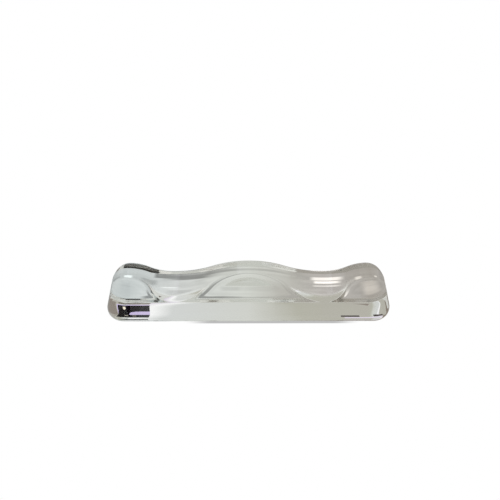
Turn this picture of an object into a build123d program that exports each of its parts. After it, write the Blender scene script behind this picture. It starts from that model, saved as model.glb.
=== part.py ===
from build123d import *
import math
import os

# Knife rest pressed from one piece of clear glass, in millimetres.
# +X runs along the bar, +Y away from the viewer and +Z up. The origin is in the middle of the foot.

# Outer sizes at the widest level of the bar
length = 95.0
depth = 19.2

# Heights above the table
crest_height = 17.3
seat_height = 10.6
end_hump_height = 15.9

# Places along the bar: the seats from its middle, and the end humps from its ends
seat_offset = 25.3
end_hump_inset = 7.5

# Outer slope of the end humps: its round, and the angle in degrees at which it runs down to the end
end_round_radius = 5.2
end_drop_angle = 52.0

# Slopes of the walls in degrees from upright, which let the glass leave its mould
side_slope = 21.0
end_slope = 14.0

# Rounded edges, and the least flat that the corner rounds leave on each side of the middle of an end
corner_radius = 6.0
end_flat = 0.4
foot_radius = 3.5
rim_radius = 2.8

os.makedirs("parts", exist_ok=True)


def halfway(start, end):
    return ((start[0] + end[0]) / 2, (start[1] + end[1]) / 2)


# How far a sharp edge at the table stands out past the round of the foot
def overhang(slope):
    return foot_radius / math.tan(math.radians((90 - slope) / 2)) - foot_radius


# The block tapers from sharp edges at the table, which the foot's rounding brings in to the outer sizes,
# to above the crest, where the wavy top then cuts it
block_length = length + 2 * overhang(end_slope)
block_depth = depth + 2 * overhang(side_slope)
block_height = crest_height + rim_radius
standing = (Align.CENTER, Align.MIN)

# Points of the wavy top in the side view, on its right half
crest = (0, crest_height)
seat = (seat_offset, seat_height)
end_hump = (length / 2 - end_hump_inset, end_hump_height)

with BuildPart() as glass_rest:
    # The ends lean in the side view, and the long sides in the end view
    with BuildSketch(Plane.XZ):
        Trapezoid(block_length, block_height, 90 - end_slope, align=standing)
    extrude(amount=block_depth / 2, both=True)
    with BuildSketch(Plane.YZ):
        Trapezoid(block_depth, block_height, 90 - side_slope, align=standing)
    extrude(amount=block_length / 2, both=True, mode=Mode.INTERSECT)

    # The wave is made of tangent arcs: each slope is an S of two equal arcs that meet halfway
    with BuildSketch(Plane.XZ):
        with BuildLine():
            crest_round = TangentArc(crest, halfway(crest, seat), tangent=(1, 0))
            TangentArc(crest_round @ 1, seat, tangent=crest_round % 1)
            seat_round = TangentArc(seat, halfway(seat, end_hump), tangent=(1, 0))
            TangentArc(seat_round @ 1, end_hump, tangent=seat_round % 1)
            end_round = JernArc(end_hump, (1, 0), end_round_radius, -end_drop_angle)
            end_drop = PolarLine(end_round @ 1, end_hump_inset, -end_drop_angle)
            Polyline(end_drop @ 1, (length, (end_drop @ 1).Y), (length, 0), (0, 0))
            mirror(about=Plane.YZ)
        make_face()
    extrude(amount=block_depth, both=True, mode=Mode.INTERSECT)

    # The upright corners are rounded where the leaning ends and sides meet, as far as the ends' top edges allow
    along = glass_rest.faces().sort_by(Axis.X)
    across = glass_rest.faces().sort_by(Axis.Y)
    ends = along[:1] + along[-1:]
    sides = across[:1] + across[-1:]
    end_top_edge = along[-1].edges().sort_by(Axis.Z)[-1]
    corner_room = end_top_edge.length / 2 - end_flat
    fillet(ends.edges() & sides.edges(), min(corner_radius, corner_room))

    # Fire polishing rounds the rim of the wavy top and the edge of the foot, from which all walls rise
    foot_edges = glass_rest.faces().sort_by(Axis.Z)[0].edges()
    foot_and_walls = glass_rest.faces().filter_by(lambda face: face.edges() & foot_edges)
    top_faces = glass_rest.faces() - foot_and_walls
    fillet(top_faces.edges() & foot_and_walls.edges(), rim_radius)
    fillet(glass_rest.faces().sort_by(Axis.Z)[0].edges(), foot_radius)

glass_rest.part.label = "glass_rest"
export_step(glass_rest.part, "parts/glass_rest.step")
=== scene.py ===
import math

import bmesh
import bpy
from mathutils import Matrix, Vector


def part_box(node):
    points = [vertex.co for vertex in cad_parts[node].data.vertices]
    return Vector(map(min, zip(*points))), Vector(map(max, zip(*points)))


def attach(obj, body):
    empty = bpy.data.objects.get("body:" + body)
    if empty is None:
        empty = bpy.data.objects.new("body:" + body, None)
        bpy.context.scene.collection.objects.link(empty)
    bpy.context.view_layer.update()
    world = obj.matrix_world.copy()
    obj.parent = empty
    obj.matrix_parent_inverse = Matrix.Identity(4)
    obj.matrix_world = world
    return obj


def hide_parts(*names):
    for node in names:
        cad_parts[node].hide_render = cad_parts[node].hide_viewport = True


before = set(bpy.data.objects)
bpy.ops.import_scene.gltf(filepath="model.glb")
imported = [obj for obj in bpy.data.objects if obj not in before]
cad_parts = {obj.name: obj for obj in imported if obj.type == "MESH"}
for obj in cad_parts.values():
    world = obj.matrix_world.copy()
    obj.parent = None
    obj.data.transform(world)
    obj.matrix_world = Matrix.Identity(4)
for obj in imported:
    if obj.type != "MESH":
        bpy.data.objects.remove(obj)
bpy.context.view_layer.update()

mm = 0.001
print("frame loaded")


# sRGB hex to linear
def linearColour(hexColour):
    channels = [int(hexColour[i:i + 2], 16) / 255 for i in (1, 3, 5)]
    linear = [c / 12.92 if c <= 0.04045 else ((c + 0.055) / 1.055) ** 2.4 for c in channels]
    return (*linear, 1.0)


# adds a node, sets its properties, and links or sets its inputs
def addNode(tree, kind, inputs=None, **properties):
    node = tree.nodes.new("ShaderNode" + kind)
    for name, value in properties.items():
        setattr(node, name, value)
    for name, value in (inputs or {}).items():
        if isinstance(value, bpy.types.NodeSocket):
            tree.links.new(value, node.inputs[name])
        else:
            node.inputs[name].default_value = value
    return node


def newMaterial(name):
    material = bpy.data.materials.new(name)
    material.use_nodes = True
    material.node_tree.nodes.clear()
    return material, material.node_tree


def newObject(name, bm, material):
    mesh = bpy.data.meshes.new(name)
    bm.to_mesh(mesh)
    bm.free()
    mesh.materials.append(material)
    piece = bpy.data.objects.new(name, mesh)
    bpy.context.scene.collection.objects.link(piece)
    return piece


# the glass bar: sizes in millimetres and degrees, beside what the CAD box gives
glassBar = {
    "seatHeight": 10.6,
    "seatOffset": 25.3,         # from the middle of the bar
    "endHumpHeight": 15.9,
    "endHumpInset": 7.5,        # from the end of the bar
    "endRoundRadius": 5.2,
    "endDropAngle": 52.0,
    "sideSlope": 21.0,          # from upright
    "endSlope": 14.0,
    "cornerRadius": 6.0,
    "footRadius": 3.5,
    "rimRadius": 2.8,
    "sideSteps": 200,
    "endSteps": 8,
    "cornerSteps": 16,
    "roundSteps": 14,
    "wallSteps": 8,
    "topSteps": 10,
    "rimHalvings": 40,          # steps that find where the rim's round lies
    "mergeGap": 0.001,          # points nearer than this become one
}

barLow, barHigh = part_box("glass_rest")
halfLength = (barHigh.x - barLow.x) / 2 / mm
halfDepth = (barHigh.y - barLow.y) / 2 / mm
crestHeight = barHigh.z / mm
sideSlope = math.radians(glassBar["sideSlope"])
endSlope = math.radians(glassBar["endSlope"])
cornerRadius = glassBar["cornerRadius"]
footRadius = glassBar["footRadius"]
rimRadius = glassBar["rimRadius"]


# arcs of the wavy top from the crest to the end: centre, signed radius,
# and the surface's tilt where the arc stops
def waveArcs():
    arcs = []
    humpX = halfLength - glassBar["endHumpInset"]
    seatX, seatZ = glassBar["seatOffset"], glassBar["seatHeight"]
    for highX, highZ in ((0, crestHeight), (humpX, glassBar["endHumpHeight"])):
        run, rise = (seatX - highX) / 2, (highZ - seatZ) / 2
        radius = (run * run + rise * rise) / (2 * rise)
        tilt = 2 * math.atan(rise / run)
        hump = (highX, highZ - radius, radius)
        dip = (seatX, seatZ + radius, -radius)
        arcs += [(*hump, tilt), (*dip, 0)] if run > 0 else [(*dip, tilt), (*hump, 0)]
    endRound = glassBar["endRoundRadius"]
    drop = math.radians(glassBar["endDropAngle"])
    return arcs + [(humpX, glassBar["endHumpHeight"] - endRound, endRound, drop)]


topArcs = waveArcs()


# height and tilt of the wavy top at x, on the line that lies inset below its surface
def topAt(x, inset=0.0):
    away = abs(x)
    for centreX, centreZ, radius, lastTilt in topArcs:
        reach = radius - inset
        stopX = centreX + reach * math.sin(lastTilt)
        if away <= stopX:
            tilt = math.asin((away - centreX) / reach)
            return centreZ + reach * math.cos(tilt), math.copysign(tilt, tilt * x)
    stopZ = centreZ + reach * math.cos(lastTilt)
    return stopZ - (away - stopX) * math.tan(lastTilt), math.copysign(lastTilt, x)


# how far a sharp edge at the table would stand out past the round of the foot
def overhang(slope):
    return footRadius / math.tan((math.pi / 2 - slope) / 2) - footRadius


# centre line of the corner rounds at the table, in from the sharp edges
cornerX = halfLength + overhang(endSlope) - cornerRadius / math.cos(endSlope)
cornerY = halfDepth + overhang(sideSlope) - cornerRadius / math.cos(sideSlope)


# stations round the bar: the share of the corner's place, and the wall's normal there
def barStations():
    corners = [(1, 1), (-1, 1), (-1, -1), (1, -1)]
    cornerSteps = glassBar["cornerSteps"]
    stations = []
    for i, (signX, signY) in enumerate(corners):
        endNormal = Vector((signX * math.cos(endSlope), 0, math.sin(endSlope)))
        sideNormal = Vector((0, signY * math.cos(sideSlope), math.sin(sideSlope)))
        alongSide = i % 2 == 0
        first, last = (endNormal, sideNormal) if alongSide else (sideNormal, endNormal)
        for step in range(cornerSteps):
            stations.append((signX, signY, first.slerp(last, step / cornerSteps)))
        nextX, nextY = corners[(i + 1) % len(corners)]
        steps = glassBar["sideSteps"] if alongSide else glassBar["endSteps"]
        for step in range(steps):
            share = step / steps
            stations.append((signX + (nextX - signX) * share, signY + (nextY - signY) * share, last))
    return stations


# point at a height on the wall moved inwards, along the station's leaning line
def wallPoint(station, height, inset):
    shareX, shareY, normal = station
    core = Vector((shareX * (cornerX - height * math.tan(endSlope)),
                   shareY * (cornerY - height * math.tan(sideSlope)), height))
    return core + normal * (cornerRadius - inset)


# centre of the ball that rolls between the foot and the wall
def footCentre(station):
    return wallPoint(station, footRadius - (cornerRadius - footRadius) * station[2].z, footRadius)


# centre of the ball that rolls under the rim, found by halving, and the top's normal where it touches
def rimCentre(station):
    low, high = 0.0, crestHeight
    for _ in range(glassBar["rimHalvings"]):
        middle = (low + high) / 2
        centre = wallPoint(station, middle, rimRadius)
        if centre.z < topAt(centre.x, rimRadius)[0]:
            low = middle
        else:
            high = middle
    tilt = topAt(centre.x, rimRadius)[1]
    return centre, Vector((math.sin(tilt), 0, math.cos(tilt)))


# rings of points from the edge of the flat foot, up the wall and over the rim to the middle of the top
def barRings(stations):
    down = Vector((0, 0, -1))
    feet = [footCentre(station) for station in stations]
    rims = [rimCentre(station) for station in stations]
    normals = [station[2] for station in stations]
    rounds, walls, tops = glassBar["roundSteps"], glassBar["wallSteps"], glassBar["topSteps"]
    rings = []
    for step in range(rounds + 1):
        rings.append([
            centre + down.slerp(normal, step / rounds) * footRadius
            for centre, normal in zip(feet, normals)
        ])
    footTop = rings[-1]
    rimFoot = [centre + normal * rimRadius for (centre, _), normal in zip(rims, normals)]
    for step in range(1, walls):
        rings.append([low.lerp(high, step / walls) for low, high in zip(footTop, rimFoot)])
    for step in range(rounds + 1):
        rings.append([
            centre + normal.slerp(up, step / rounds) * rimRadius
            for (centre, up), normal in zip(rims, normals)
        ])
    rimTop = rings[-1]
    spineEnd = max(point.x for point in rimTop) - max(point.y for point in rimTop)
    spine = [Vector((max(-spineEnd, min(spineEnd, point.x)), 0, 0)) for point in rimTop]
    for step in range(1, tops + 1):
        flat = [edge.lerp(middle, step / tops) for edge, middle in zip(rimTop, spine)]
        rings.append([Vector((point.x, point.y, topAt(point.x)[0])) for point in flat])
    return rings


def buildGlassBar(material):
    stations = barStations()
    rings = barRings(stations)
    bm = bmesh.new()
    stationLayer = bm.verts.layers.int.new("station")
    ringVerts = bmesh.ops.create_circle(bm, segments=len(stations), radius=halfLength)["verts"]
    for i, vert in enumerate(ringVerts):
        vert[stationLayer] = i
        vert.co = rings[0][i]
    ringEdges = bm.edges[:]
    bmesh.ops.contextual_create(bm, geom=ringEdges)   # the flat foot
    for ring in rings[1:]:
        grown = bmesh.ops.extrude_edge_only(bm, edges=ringEdges)["geom"]
        ringEdges = [part for part in grown if isinstance(part, bmesh.types.BMEdge)]
        for vert in grown:
            if isinstance(vert, bmesh.types.BMVert):
                vert.co = ring[vert[stationLayer]]
    # closes the middle of the top
    bmesh.ops.remove_doubles(bm, verts=bm.verts[:], dist=glassBar["mergeGap"])
    bmesh.ops.recalc_face_normals(bm, faces=bm.faces[:])
    bmesh.ops.scale(bm, vec=(mm, mm, mm), verts=bm.verts[:])
    for face in bm.faces:
        face.smooth = len(face.verts) <= 4   # all but the flat foot
    return newObject("glass_bar", bm, material)


# pressed soda-lime glass, fire polished: clear, a faint grey-green in its depth, a gently uneven skin
glassFinish = {
    "tint": "#dfe4dc",          # colour left in the light after the depth below
    "tintDepth": 30.0,          # mm
    "ior": 1.52,
    "roughness": 0.0,
    "waveWidth": 22.0,          # mm, width of the skin's slow waves
    "waveHeight": 0.02,         # mm
    "waveLayers": 1.0,          # finer waves laid over the slow ones
    "waveLayerShare": 0.4,      # height of a finer layer beside the one before
}


def pressedGlass():
    material, tree = newMaterial("pressed_clear_glass")
    tint = linearColour(glassFinish["tint"])
    depth = glassFinish["tintDepth"] * mm
    density = -math.log(sum(tint[:3]) / 3) / depth
    place = addNode(tree, "TexCoord")
    skin = addNode(tree, "TexNoise", {
        "Vector": place.outputs["Object"],
        "Scale": 1 / (glassFinish["waveWidth"] * mm),
        "Detail": glassFinish["waveLayers"],
        "Roughness": glassFinish["waveLayerShare"],
    })
    bump = addNode(tree, "Bump", {
        "Height": skin.outputs["Fac"],
        "Strength": 1.0,
        "Distance": glassFinish["waveHeight"] * mm,
    })
    glass = addNode(tree, "BsdfPrincipled", {
        "Base Color": (1, 1, 1, 1),
        "Transmission Weight": 1.0,
        "IOR": glassFinish["ior"],
        "Roughness": glassFinish["roughness"],
        "Normal": bump.outputs["Normal"],
    })
    body = addNode(tree, "VolumeAbsorption", {"Color": tint, "Density": density})
    addNode(tree, "OutputMaterial", {"Surface": glass.outputs[0], "Volume": body.outputs[0]})
    return material


bar = buildGlassBar(pressedGlass())
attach(bar, "root")
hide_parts("glass_rest")
print("glass bar built:", len(bar.data.polygons), "faces")


# stage finishes: share of the light at a soft line along the bar
def lineLight(tree, split, line):
    off = addNode(tree, "Math", {0: split.outputs["Y"], 1: line["y"] * mm}, operation="SUBTRACT")
    away = addNode(tree, "Math", {0: off.outputs[0]}, operation="ABSOLUTE")
    half = line["half"] * mm
    left, right = [end * mm for end in line["ends"]]
    leftFade, rightFade = [fade * mm for fade in line["fade"]]
    depth = 1.0
    for value, empty, full in (
        (away.outputs[0], half, half / 2),
        (split.outputs["X"], left, left + leftFade),
        (split.outputs["X"], right, right - rightFade),
    ):
        share = addNode(tree, "MapRange", {"Value": value, "From Min": empty, "From Max": full},
                        interpolation_type="SMOOTHSTEP")
        depth = addNode(tree, "Math", {0: depth, 1: share.outputs[0]}, operation="MULTIPLY").outputs[0]
    return addNode(tree, "MapRange", {"Value": depth, "To Min": 1.0, "To Max": line["light"]}).outputs[0]


# share of the light in uneven streaks along the bar
def streakLight(tree, place, streaks):
    stretched = addNode(tree, "Mapping", {
        "Vector": place.outputs["Object"],
        "Scale": (streaks["width"] / streaks["length"], 1, 1),
    })
    noise = addNode(tree, "TexNoise", {
        "Vector": stretched.outputs[0],
        "Scale": 1 / (streaks["width"] * mm),
        "Detail": streaks["layers"],
        "Distortion": streaks["bend"],
    })
    darkest, brightest = streaks["noiseRange"]
    return addNode(tree, "MapRange", {
        "Value": noise.outputs["Fac"],
        "From Min": darkest,
        "From Max": brightest,
        "To Min": 1 - streaks["depth"] / 2,
        "To Max": 1 + streaks["depth"] / 2,
    }).outputs[0]


# a glowing stage finish: one colour, or colours at places in millimetres along the panel
def glowMaterial(name, colours, lines=(), streaks=None):
    material, tree = newMaterial(name)
    place = addNode(tree, "TexCoord")
    split = addNode(tree, "SeparateXYZ", {"Vector": place.outputs["Object"]})
    if isinstance(colours, str):
        colour = linearColour(colours)
    else:
        first, last = min(colours), max(colours)
        share = addNode(tree, "MapRange", {
            "Value": split.outputs["X"],
            "From Min": first * mm,
            "From Max": last * mm,
        })
        ramp = addNode(tree, "ValToRGB", {"Fac": share.outputs[0]})
        stops = ramp.color_ramp.elements
        for spot, shade in colours.items():
            where = (spot - first) / (last - first)
            stop = stops[0] if spot == first else stops[-1] if spot == last else stops.new(where)
            stop.color = linearColour(shade)
        colour = ramp.outputs["Color"]
    light = streakLight(tree, place, streaks) if streaks else 1.0
    for line in lines:
        share = lineLight(tree, split, line)
        light = addNode(tree, "Math", {0: light, 1: share}, operation="MULTIPLY").outputs[0]
    glow = addNode(tree, "Emission", {"Color": colour, "Strength": light})
    addNode(tree, "OutputMaterial", {"Surface": glow.outputs[0]})
    return material


# a flat stage panel: lying, or upright and turned about the upright line
def stagePanel(name, xs, ys, material, place=(0, 0, 0), turn=None, unseenBy=("camera",)):
    width, height = xs[1] - xs[0], ys[1] - ys[0]
    middle = Vector((sum(xs) / 2, sum(ys) / 2, 0))
    bm = bmesh.new()
    bmesh.ops.create_grid(bm, x_segments=1, y_segments=1, size=0.5)   # a square, one by one
    bmesh.ops.scale(bm, vec=(width * mm, height * mm, 1), verts=bm.verts[:])
    bmesh.ops.translate(bm, vec=middle * mm, verts=bm.verts[:])
    panel = newObject(name, bm, material)
    panel.location = Vector(place) * mm
    if turn is not None:
        panel.rotation_euler = (math.pi / 2, 0, math.radians(turn))
    for ray in unseenBy:
        setattr(panel, "visible_" + ray, False)


# the white floor and backdrop, which only the camera sees
# soft lines here and on the paper: middle, half width, ends and fade at the ends in mm, share of the light
whiteStage = {
    "reach": 2000.0,            # mm to each side
    "drop": 0.02,               # mm below the foot, so that the two faces stay apart
    "colour": "#ffffff",
    "shadows": [
        # at the front and back of the foot
        {"y": -7.9, "half": 0.8, "ends": (-22.0, 38.0), "fade": (10.0, 10.0), "light": 0.5},
        {"y": 8.6, "half": 2.6, "ends": (-44.0, 44.0), "fade": (8.0, 8.0), "light": 0.6},
        # at its ends
        {"y": 0.0, "half": 5.5, "ends": (-47.8, -43.0), "fade": (2.0, 1.0), "light": 0.6},
        {"y": 0.0, "half": 5.5, "ends": (43.0, 47.8), "fade": (1.0, 2.0), "light": 0.6},
    ],
}


def buildWhiteStage():
    reach = whiteStage["reach"]
    flat = (-reach, reach)
    cameraOnly = ("transmission", "glossy", "diffuse")
    floorFinish = glowMaterial("white_floor", whiteStage["colour"], whiteStage["shadows"])
    stagePanel("floor", flat, flat, floorFinish, (0, 0, -whiteStage["drop"]), unseenBy=cameraOnly)
    backdropFinish = glowMaterial("white_backdrop", whiteStage["colour"])
    for x, y, turn in ((0, reach, 0), (-reach, 0, 90), (0, -reach, 180), (reach, 0, 270)):
        stagePanel("backdrop", flat, flat, backdropFinish, (x, y, 0), turn, cameraOnly)


buildWhiteStage()
print("floor and backdrop built")


# the paper under the bar, which only the glass shows: a glowing sheet with painted shadows, painted
# highlights and painted streaks of light, seen through the glass
paper = {
    "reach": 2000.0,            # mm to each side
    "drop": 0.04,               # mm below the foot
    # painted shade: the paper darkens towards both ends and greys to the right
    "colours": {                # mm along the bar
        -64.0: "#5d5a5a",
        -48.0: "#c4cccd",
        -26.0: "#d7dad9",
        0.0: "#d3d5cf",
        12.0: "#c0beb7",
        26.0: "#bab5b1",
        38.0: "#bab6b1",
        45.0: "#a69e94",
        60.0: "#7d746b",
    },
    "streaks": {                # the uneven light that the bar throws on the paper
        "length": 20.0,         # mm
        "width": 3.0,           # mm
        "depth": 0.3,           # share of the light
        "layers": 1.0,          # finer noise laid over the first
        "bend": 0.6,
        "noiseRange": (0.25, 0.75),   # noise values of the least and the most light
    },
    "lines": [
        # painted shadow under the far foot edge, seen as a dark band from the left hump towards the crest
        {"y": 9.1, "half": 1.0, "ends": (-37.8, -20.0), "fade": (3.0, 12.0), "light": 0.4},
        {"y": 8.5, "half": 1.4, "ends": (-34.0, -5.0), "fade": (12.0, 9.0), "light": 0.4},
        # painted shade: thin dark lines left of the crest
        {"y": 9.1, "half": 0.6, "ends": (-14.0, -0.5), "fade": (5.0, 6.0), "light": 0.65},
        {"y": 12.2, "half": 0.4, "ends": (-11.0, -1.5), "fade": (3.0, 3.0), "light": 0.84},
        # painted shade: a greyer edge from the crest to the right, and darker paper behind the right half
        {"y": 8.6, "half": 1.8, "ends": (6.0, 60.0), "fade": (8.0, 6.0), "light": 0.88},
        {"y": 8.95, "half": 0.5, "ends": (-8.0, 13.0), "fade": (5.0, 8.0), "light": 0.75},
        {"y": 75.0, "half": 60.0, "ends": (0.0, 160.0), "fade": (10.0, 10.0), "light": 0.3},
        # painted highlight and painted shade: a bright line and a darker zone in the left seat
        {"y": 3.7, "half": 0.4, "ends": (-33.0, -22.0), "fade": (3.0, 4.0), "light": 1.3},
        {"y": 1.4, "half": 1.2, "ends": (-31.0, -15.0), "fade": (5.0, 4.0), "light": 0.78},
        # painted reflections: three white streaks in the right seat
        {"y": 8.0, "half": 0.95, "ends": (19.5, 38.5), "fade": (3.0, 6.0), "light": 2.5},
        {"y": 6.2, "half": 0.8, "ends": (21.0, 36.5), "fade": (2.0, 5.0), "light": 2.4},
        {"y": 4.3, "half": 0.5, "ends": (20.5, 36.0), "fade": (2.0, 5.0), "light": 1.8},
        # painted highlights: a pale oval and a small highlight at the right hump
        {"y": 12.2, "half": 2.6, "ends": (38.8, 44.5), "fade": (2.6, 1.0), "light": 1.55},
        {"y": 6.2, "half": 0.9, "ends": (39.8, 40.9), "fade": (0.4, 0.4), "light": 1.9},
        # painted highlight and painted shade: a white spot and a darker place beside it at the left hump
        {"y": 6.4, "half": 0.8, "ends": (-43.0, -40.9), "fade": (0.4, 0.4), "light": 1.8},
        {"y": 5.8, "half": 1.6, "ends": (-40.4, -33.0), "fade": (0.8, 3.0), "light": 0.75},
    ],
}


def buildPaper():
    flat = (-paper["reach"], paper["reach"])
    finish = glowMaterial("paper", paper["colours"], paper["lines"], paper["streaks"])
    stagePanel("paper", flat, flat, finish, (0, 0, -paper["drop"]))


buildPaper()
print("paper built")


# the walls of a room far off, which only the glass shows, in mm
room = {
    "colour": "#e2e1dc",        # beyond the walls
    "wallAway": 1000.0,         # from the bar to the walls behind and in front of it
    "endAway": 1200.0,          # from the bar to the walls past its ends
    "height": 2600.0,
    "railHeight": 800.0,        # the right walls are darker above it
    "skyHeight": 1330.0,        # the back walls are paler above it
    "cornerHeight": 1700.0,     # at the far right corner the darker part reaches up to here
    "cornerStart": 600.0,
    "cornerGap": 1.0,           # from the corner's panel to the wall behind it
    "frontReach": 220.0,        # half the width of the front wall
    "frontRightStart": 420.0,
    "paleColours": {            # along the pale wall behind the bar, from its left to its right end
        -260.0: "#d9cfe0",
        -180.0: "#ffffff",
        -140.0: "#d6d8d7",
        0.0: "#d4d5d0",
        90.0: "#b9b8ac",
        230.0: "#b9b6ad",
    },
    "leftColour": "#857b71",
    "leftSkyColour": "#d4d5d1",
    "leftEndColour": "#857e7a",
    "rightColour": "#aaa59d",
    "rightDarkColour": "#918880",
    "rightSkyColour": "#b9b6ad",
    "frontColour": "#cbccc6",
    "frontRightColour": "#9a948f",
}


def buildRoom():
    away, endAway = room["wallAway"], room["endAway"]
    top, rail = room["height"], room["railHeight"]
    sky, corner = room["skyHeight"], room["cornerHeight"]
    paleLeft, paleRight = min(room["paleColours"]), max(room["paleColours"])
    # places of the walls
    behind, before = (0, away, 0), (0, -away, 0)
    atCorner = (0, away - room["cornerGap"], 0)
    atLeft, atRight = (-endAway, 0, 0), (endAway, 0, 0)
    # reach of the walls to their sides
    pale, left, right = (paleLeft, paleRight), (-endAway, paleLeft), (paleRight, endAway)
    farRight, alongEnd = (room["cornerStart"], endAway), (-away, away)
    front, frontRight = (-room["frontReach"], room["frontReach"]), (room["frontRightStart"], endAway)
    for name, place, turn, across, heights, colours in (
        ("pale_wall", behind, 0, pale, (0, top), "paleColours"),
        ("left_wall", behind, 0, left, (0, sky), "leftColour"),
        ("left_sky", behind, 0, left, (sky, top), "leftSkyColour"),
        ("right_wall", behind, 0, right, (0, rail), "rightColour"),
        ("right_brown", behind, 0, right, (rail, sky), "rightDarkColour"),
        ("right_corner", atCorner, 0, farRight, (sky, corner), "rightDarkColour"),
        ("right_sky", behind, 0, right, (sky, top), "rightSkyColour"),
        ("left_end", atLeft, 90, alongEnd, (0, sky), "leftEndColour"),
        ("right_end", atRight, 90, alongEnd, (0, rail), "rightColour"),
        ("right_dark", atRight, 90, alongEnd, (rail, corner), "rightDarkColour"),
        ("front_wall", before, 0, front, (0, top), "frontColour"),
        ("front_right", before, 0, frontRight, (0, sky), "frontRightColour"),
    ):
        stagePanel(name, across, heights, glowMaterial(name, room[colours]), place, turn)
    world = bpy.data.worlds.new("room")
    bpy.context.scene.world = world
    world.use_nodes = True
    world.node_tree.nodes["Background"].inputs["Color"].default_value = linearColour(room["colour"])


buildRoom()
print("room built")


# small upright cards near the bar, which only the glass shows, glowing to put painted reflections and a
# painted highlight into the glass: y, reach along the bar and heights in mm
cards = {
    # at the left end, painted reflections: black patch with its highlight dot and lilac line, brown line,
    # dark cap, dark line at the foot
    "back_card": {"y": 30.0, "along": (-80.0, -37.4), "heights": (18.6, 25.8), "colour": "#110b12"},
    # painted highlight: a small glowing warm-white dot
    "highlight_dot_card": {"y": 29.8, "along": (-43.9, -42.3), "heights": (23.1, 23.6), "colour": "#fff4e0"},
    "lilac_card": {"y": 30.0, "along": (-80.0, -37.4), "heights": (25.8, 27.2), "colour": "#d3c4ea"},
    "brown_card": {"y": 30.0, "along": (-80.0, -38.0), "heights": (29.5, 40.0), "colour": "#6d6259"},
    "front_card": {"y": -10.5, "along": (-80.0, -39.4), "heights": (2.0, 22.0), "colour": "#0a090a"},
    "low_card": {"y": 30.0, "along": (-80.0, -37.4), "heights": (0.0, 14.0), "colour": "#1a1412"},
    # at the right end, painted reflections: dark and pale lines at the foot, an even tone in the front, a
    # greyer back rim
    "right_card": {"y": 29.9, "along": (34.8, 41.8), "heights": (19.6, 23.8), "colour": "#4a4343"},
    "light_card": {"y": 29.9, "along": (36.0, 47.0), "heights": (15.4, 18.6), "colour": "#e6dcee"},
    "beige_card": {"y": 30.0, "along": (28.0, 37.2), "heights": (18.0, 60.0), "colour": "#b9b7ad"},
    "grey_card": {"y": -20.0, "along": (9.0, 70.0), "heights": (2.0, 40.0), "colour": "#a39e97"},
}


def buildCards():
    for name, card in cards.items():
        finish = glowMaterial(name, card["colour"])
        stagePanel(name, card["along"], card["heights"], finish, (0, card["y"], 0), 0)


buildCards()
print("cards built")


# the lamp, straight above the bar
softLamp = {
    "size": 1500.0,             # mm
    "height": 900.0,            # mm
    "power": 2.5,               # W
}


def buildLamp():
    lamp = bpy.data.lights.new("soft_lamp", "AREA")
    lamp.shape = "DISK"
    lamp.size = softLamp["size"] * mm
    lamp.energy = softLamp["power"]
    lampObject = bpy.data.objects.new("soft_lamp", lamp)
    lampObject.location.z = softLamp["height"] * mm
    lampObject.visible_transmission = False
    bpy.context.scene.collection.objects.link(lampObject)


buildLamp()
print("lamp set")


# the camera: the photograph's view, whose pixels are named for a picture 500 wide and high
photoView = {
    "elevation": 41.0,          # degrees
    "distance": 300.0,          # mm from the aim point
    "aimHeight": 6.0,           # mm above the table
    "pixelsPerMm": 2.949,       # at the aim point
    "aimPixel": (247.9, 293.1),
    "pictureSize": 500,
    "glassBounces": 24,         # surfaces that a ray of light may cross
    "glossyBounces": 16,
}


def buildCamera():
    elevation = math.radians(photoView["elevation"])
    distance = photoView["distance"] * mm
    middle = photoView["pictureSize"] / 2
    pixel = mm / photoView["pixelsPerMm"]
    camera = bpy.data.cameras.new("camera")
    camera.lens = camera.sensor_width * distance / (photoView["pictureSize"] * pixel)
    cameraObject = bpy.data.objects.new("camera", camera)
    aim = Vector((0, 0, photoView["aimHeight"] * mm))
    cameraObject.location = aim + Vector((0, -math.cos(elevation), math.sin(elevation))) * distance
    aimX, aimY = photoView["aimPixel"]
    tip = math.atan((aimY - middle) * pixel / distance)
    turn = math.atan((aimX - middle) * pixel / distance)
    cameraObject.rotation_euler = (math.pi / 2 - elevation + tip, 0, turn)
    bpy.context.scene.collection.objects.link(cameraObject)
    bpy.context.scene.camera = cameraObject


buildCamera()
scene = bpy.context.scene
scene.view_settings.view_transform = "Standard"
scene.cycles.max_bounces = photoView["glassBounces"]
scene.cycles.transmission_bounces = photoView["glassBounces"]
scene.cycles.glossy_bounces = photoView["glossyBounces"]
print("camera set")
